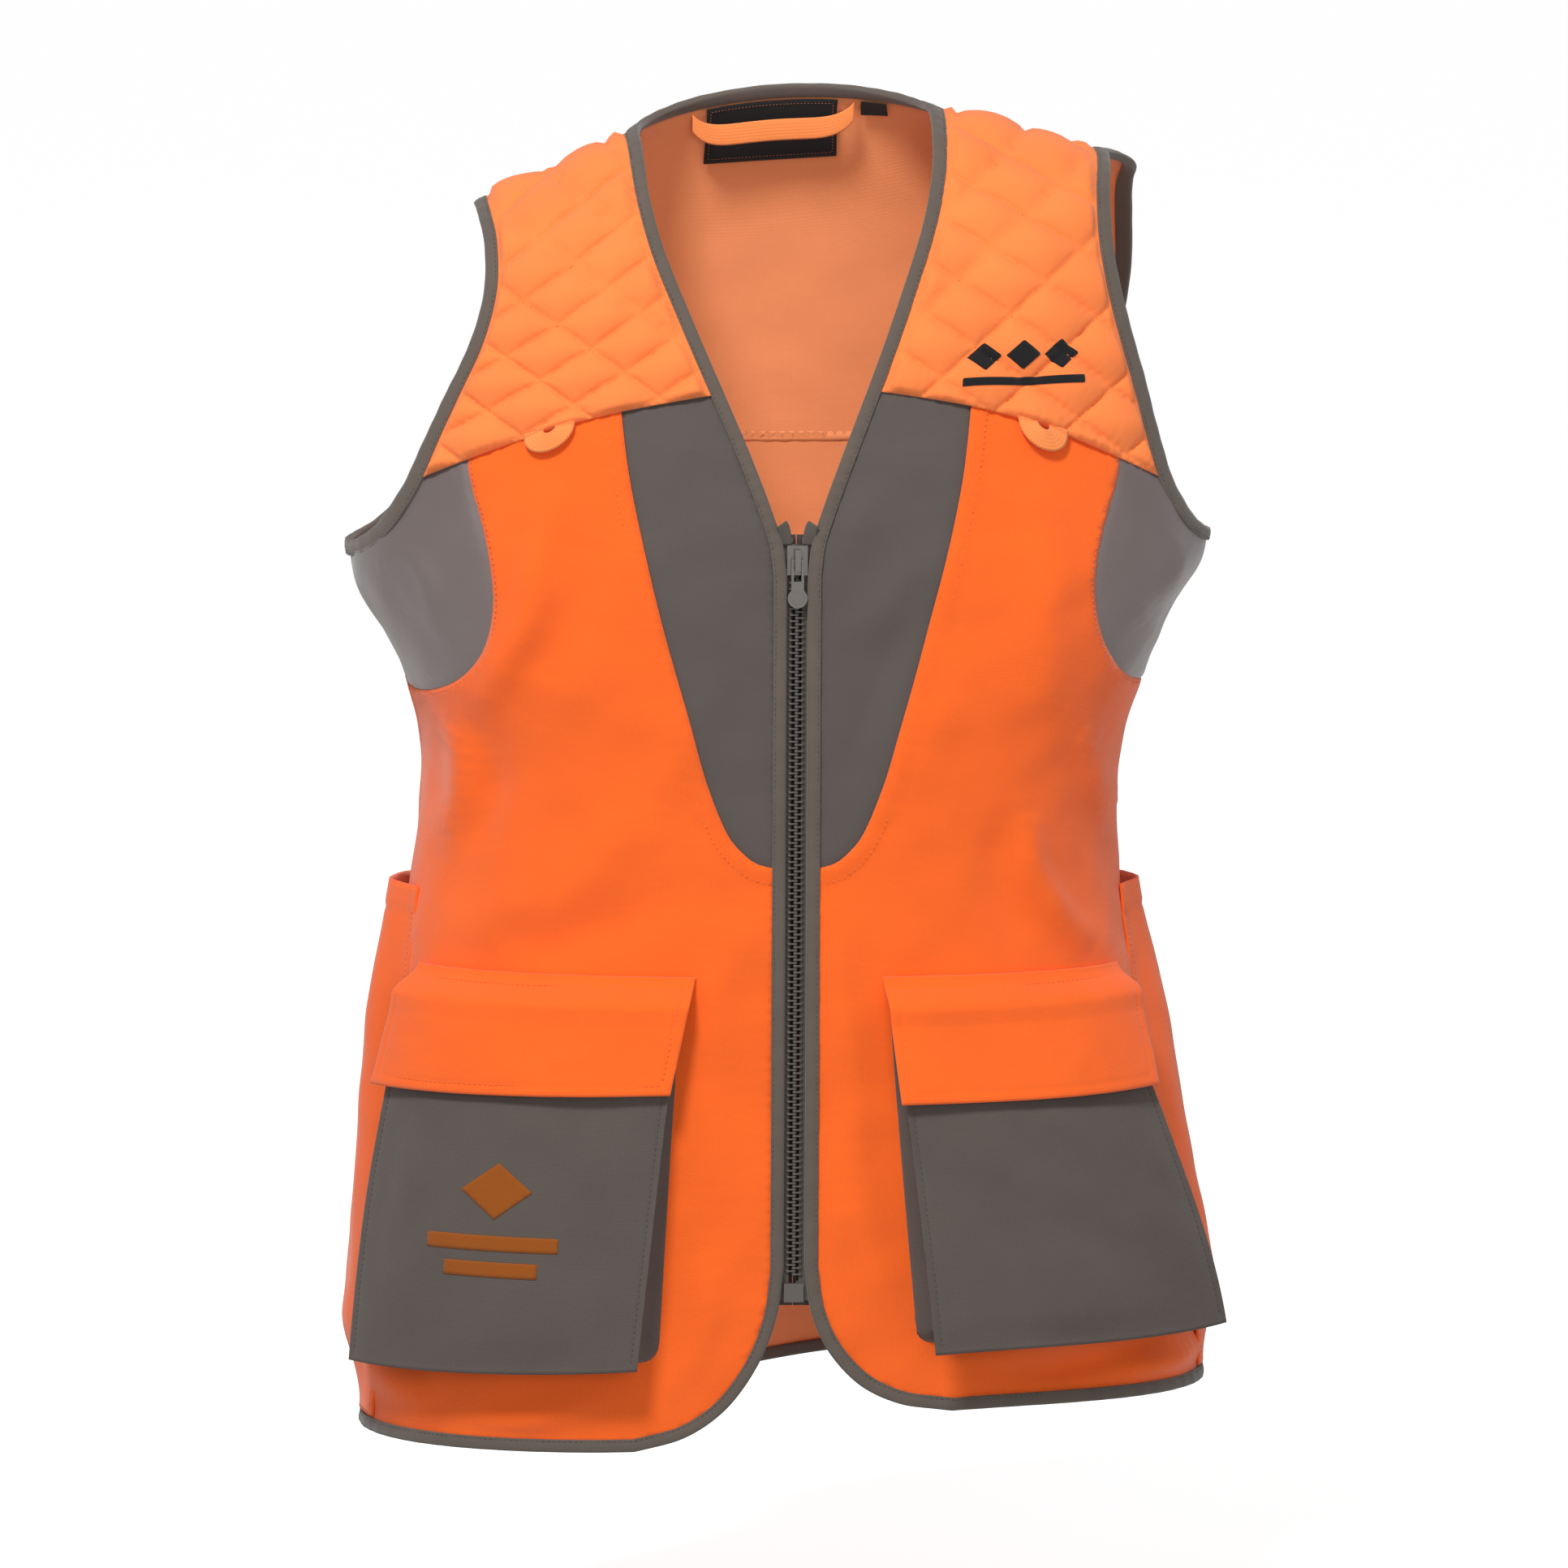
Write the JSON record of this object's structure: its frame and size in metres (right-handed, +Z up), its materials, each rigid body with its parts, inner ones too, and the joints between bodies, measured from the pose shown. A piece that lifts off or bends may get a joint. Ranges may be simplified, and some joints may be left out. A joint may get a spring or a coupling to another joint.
{
  "type": "upland field vest",
  "caption": "Sleeveless front-zip field vest with quilted shoulder yokes, stretch underarm panels, flap cargo pockets and a rear game bag.",
  "frame": {"origin": "midway between the shoulders, at the height the vest hangs from", "axes": "+X towards the wearer's left, -Y is the front, +Z up"},
  "size_m": [0.4524, 0.3003, 0.6877],
  "materials": {
    "orange_shell": "blaze orange woven shell cloth, matt",
    "orange_quilt": "paler orange quilted cloth, matt",
    "orange_lining": "orange lining cloth, matt",
    "batting": "white polyester wadding",
    "grey_bib": "taupe grey woven cloth, matt",
    "grey_stretch": "taupe grey stretch cloth, slight sheen",
    "grey_pocket": "taupe grey woven pocket cloth, matt",
    "grey_binding": "grey folded binding tape",
    "zip_tape": "dark grey zip tape",
    "zip_resin": "moulded resin",
    "zip_metal": "painted die-cast zinc",
    "orange_tape": "orange grosgrain tape",
    "hook_tape": "hook side of a touch fastener",
    "loop_tape": "loop side of a touch fastener",
    "black_label": "black woven label"
  },
  "bodies": {
    "vest": {"front_panel_right": "orange_shell", "front_insert_right": "grey_bib", "yoke_quilt_right": "orange_quilt", "yoke_batting_right": "batting", "yoke_lining_right": "orange_lining", "underarm_panel_right": "grey_stretch", "front_binding_right": "grey_binding", "armhole_binding_right": "grey_binding", "pocket_gusset_right": "grey_pocket", "zipper_tape_right": "zip_tape", "zipper_teeth_right": "zip_resin", "front_panel_left": "orange_shell", "front_insert_left": "grey_bib", "yoke_quilt_left": "orange_quilt", "yoke_batting_left": "batting", "yoke_lining_left": "orange_lining", "underarm_panel_left": "grey_stretch", "front_binding_left": "grey_binding", "armhole_binding_left": "grey_binding", "pocket_gusset_left": "grey_pocket", "zipper_tape_left": "zip_tape", "zipper_teeth_left": "zip_resin", "back_panel": "orange_shell", "back_yoke": "orange_shell", "game_bag": "orange_shell", "neck_binding_back": "grey_binding", "hem_binding_back": "grey_binding", "zipper_top_stops": "zip_resin", "zipper_retainer_box": "zip_resin", "zipper_insertion_pin": "zip_resin", "neck_label": "black_label", "size_label": "black_label", "pocket_face_right": "grey_pocket", "loop_tape_right": "loop_tape", "pocket_face_left": "grey_pocket", "loop_tape_left": "loop_tape"},
    "slider": {"zipper_slider": "zip_metal"},
    "pull": {"zipper_pull": "zip_metal"},
    "flap_right": {"pocket_flap_right": "orange_shell", "hook_tape_right": "hook_tape"},
    "chest_loop_right": {"chest_loop_right": "orange_tape"},
    "flap_left": {"pocket_flap_left": "orange_shell", "hook_tape_left": "hook_tape"},
    "chest_loop_left": {"chest_loop_left": "orange_tape"},
    "hanger": {"hanger_loop": "orange_tape"}
  },
  "joints": [
    {"name": "zipper_slide", "type": "slide", "parent": "vest", "child": "slider", "axis": [0, 0, -1], "range_m": [0, 0.358]},
    {"name": "pull_swing", "type": "hinge", "parent": "slider", "child": "pull", "pos_m": [0, -0.11785, -0.2135], "axis": [-1, 0, 0], "range_deg": [0, 165]},
    {"name": "pocket_flap_right_lift", "type": "hinge", "parent": "vest", "child": "flap_right", "pos_m": [-0.128, -0.09975, -0.42378], "axis": [-0.8869, 0.4619, 0.0029], "range_deg": [0, 135]},
    {"name": "chest_loop_right_swing", "type": "hinge", "parent": "vest", "child": "chest_loop_right", "pos_m": [-0.12444, -0.10118, -0.15083], "axis": [-0.9413, 0.1595, -0.2976], "range_deg": [0, 120]},
    {"name": "pocket_flap_left_lift", "type": "hinge", "parent": "vest", "child": "flap_left", "pos_m": [0.11422, -0.10329, -0.42367], "axis": [-0.9055, -0.4243, -0.0048], "range_deg": [0, 135]},
    {"name": "chest_loop_left_swing", "type": "hinge", "parent": "vest", "child": "chest_loop_left", "pos_m": [0.12584, -0.10126, -0.14923], "axis": [-0.9326, -0.1568, 0.3249], "range_deg": [0, 120]},
    {"name": "hanger_loop_swing", "type": "hinge", "parent": "vest", "child": "hanger", "pos_m": [0.00059, 0.05509, 0.00736], "axis": [-0.9969, -0.0014, -0.0786], "range_deg": [0, 90]}
  ]
}
